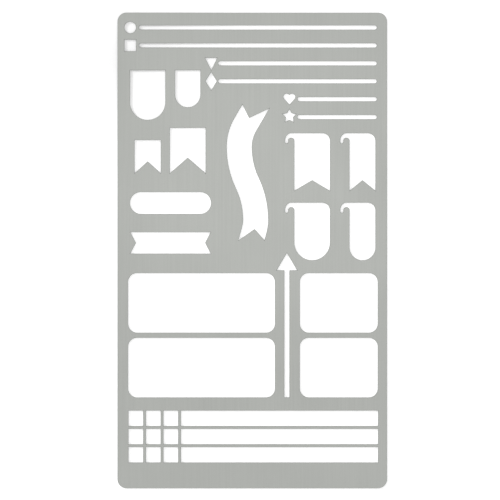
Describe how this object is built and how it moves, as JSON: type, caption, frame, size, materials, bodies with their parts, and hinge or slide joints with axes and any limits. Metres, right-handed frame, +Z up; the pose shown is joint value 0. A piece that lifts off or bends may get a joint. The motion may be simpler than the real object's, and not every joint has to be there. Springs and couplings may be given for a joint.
{
  "type": "planner stencil",
  "caption": "Flat stainless steel drawing stencil with line slots, bullet shapes, flags, a ribbon, note boxes, an arrow and a checklist grid cut through it.",
  "frame": {"origin": "centre of the underside, on the surface that the sheet lies on", "axes": "+Z up out of the sheet, +Y along its long side towards the line guides, +X to the right as it is used"},
  "size_m": [0.102, 0.18, 0.0005],
  "materials": {
    "satin_stainless_steel": "satin, fine rolled grain"
  },
  "bodies": {
    "root": {"stencil_sheet": "satin_stainless_steel"}
  },
  "joints": []
}
